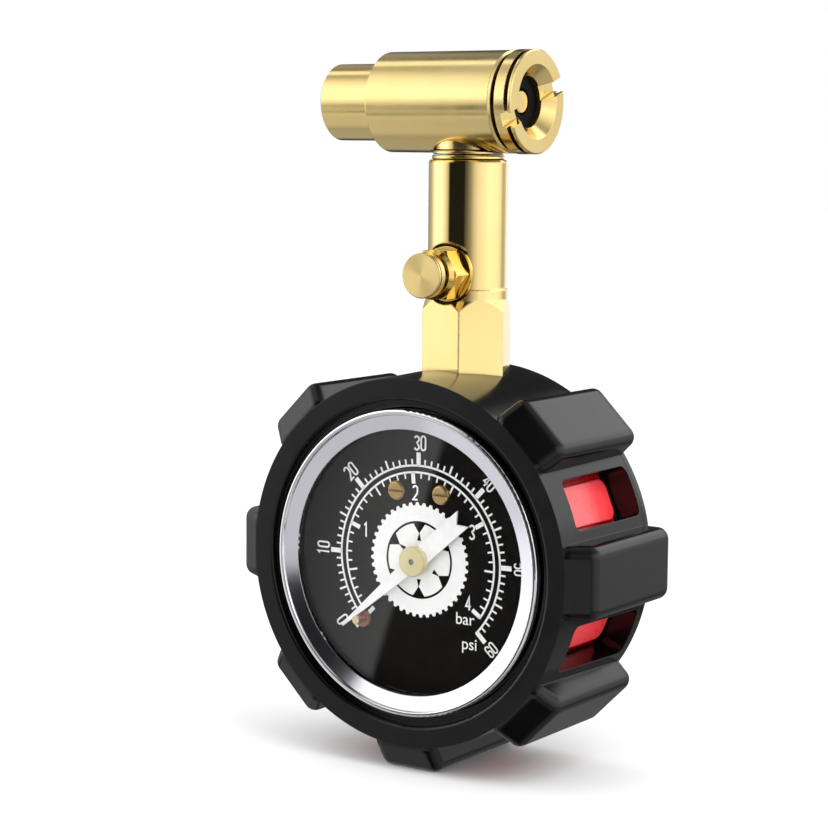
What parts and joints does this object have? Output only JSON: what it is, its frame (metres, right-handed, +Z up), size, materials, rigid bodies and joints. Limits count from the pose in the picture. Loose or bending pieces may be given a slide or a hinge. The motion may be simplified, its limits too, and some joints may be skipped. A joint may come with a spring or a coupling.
{
  "type": "dial tyre pressure gauge",
  "caption": "Round dial tyre pressure gauge in a lugged rubber boot, with a brass stem, a bleed button and a swivel valve chuck.",
  "frame": {"origin": "centre of the boot's flat back face, on the dial's axis", "axes": "+Y out of the back face, -Y the way the dial faces, +Z up the stem towards the chuck, +X the way the chuck's mouth points at rest"},
  "size_m": [0.0686, 0.0273, 0.1167],
  "materials": {
    "boot_rubber": "satin",
    "liner_red": "satin",
    "bezel_chrome": "polished",
    "lens_glass": "clear",
    "seal_rubber": "matte",
    "case_steel": "satin",
    "dial_black": "satin",
    "pointer_white": "satin",
    "steel_parts": "satin",
    "washer_fibre": "matte",
    "chuck_brass": "satin",
    "polished_brass": "polished"
  },
  "bodies": {
    "gauge": {"front_cover": "boot_rubber", "back_cover": "boot_rubber", "liner_ring": "liner_red", "gauge_case": "case_steel", "bezel_ring": "bezel_chrome", "lens": "lens_glass", "lens_gasket": "seal_rubber", "dial_plate": "dial_black", "dial_screws": "polished_brass", "dial_posts": "polished_brass", "stop_pin": "steel_parts", "bourdon_tube": "polished_brass", "movement_front_plate": "polished_brass", "movement_back_plate": "polished_brass", "movement_pillars": "polished_brass", "movement_screws": "steel_parts", "mount_screws": "steel_parts", "hairspring": "polished_brass", "spring_stud": "polished_brass", "socket_block": "polished_brass", "sealing_washer": "washer_fibre", "stem_body": "polished_brass", "bleeder_washer": "polished_brass", "bleeder_body": "polished_brass", "bleeder_spring": "steel_parts", "swivel_washer": "chuck_brass", "swivel_seal": "seal_rubber"},
    "needle": {"pointer": "pointer_white", "pointer_hub": "polished_brass", "pinion_arbor": "steel_parts"},
    "sector": {"sector_gear": "polished_brass", "sector_arbor": "steel_parts", "sector_rivet": "steel_parts"},
    "link": {"link_bar": "polished_brass", "link_rivet": "steel_parts"},
    "tip": {"tube_tip": "polished_brass"},
    "button": {"bleeder_button": "polished_brass", "bleeder_plunger": "polished_brass", "bleeder_seal": "seal_rubber"},
    "chuck": {"chuck_body": "chuck_brass", "end_cap": "chuck_brass", "ring_nut": "chuck_brass", "valve_seal": "seal_rubber", "swivel_collar": "chuck_brass", "keeper_ring": "steel_parts", "check_spring": "steel_parts"},
    "valve_pin": {"depressor_pin": "chuck_brass", "check_poppet": "polished_brass", "poppet_seal": "seal_rubber"}
  },
  "joints": [
    {"name": "sector_swing", "type": "hinge", "parent": "gauge", "child": "sector", "pos_m": [-0.00721, -0.0181, -0.00721], "axis": [0, -1, 0], "range_deg": [0, 36], "stiffness_Nm_per_rad": 0.02, "springref_deg": -5.16},
    {"name": "needle_spin", "type": "hinge", "parent": "gauge", "child": "needle", "pos_m": [0, -0.02, 0], "axis": [0, 1, 0], "range_deg": [0, 270], "deforming": ["hairspring"]},
    {"name": "link_pivot", "type": "hinge", "parent": "sector", "child": "link", "pos_m": [-0.01035, -0.0172, -0.00619], "axis": [0, -1, 0], "range_deg": [-30, 0]},
    {"name": "tip_bend", "type": "hinge", "parent": "gauge", "child": "tip", "pos_m": [0.0032, -0.0091, -0.00555], "axis": [0, -1, 0], "range_deg": [0, 8.7], "deforming": ["bourdon_tube"]},
    {"name": "button_press", "type": "slide", "parent": "gauge", "child": "button", "axis": [0, 1, 0], "range_m": [0, 0.0012], "stiffness_N_per_m": 800, "springref_m": -0.0015, "deforming": ["bleeder_spring"]},
    {"name": "chuck_swivel", "type": "hinge", "parent": "gauge", "child": "chuck", "pos_m": [0, -0.0091, 0.068], "axis": [0, 0, 1], "continuous": true},
    {"name": "pin_press", "type": "slide", "parent": "chuck", "child": "valve_pin", "axis": [-1, 0, 0], "range_m": [0, 0.0015], "stiffness_N_per_m": 600, "springref_m": -0.002, "deforming": ["check_spring"]}
  ],
  "couplings": [
    {"joint": "needle_spin", "follows": "sector_swing", "ratio": 7.5},
    {"joint": "link_pivot", "follows": "sector_swing", "ratio": -0.8167},
    {"joint": "tip_bend", "follows": "sector_swing", "ratio": 0.2389}
  ]
}
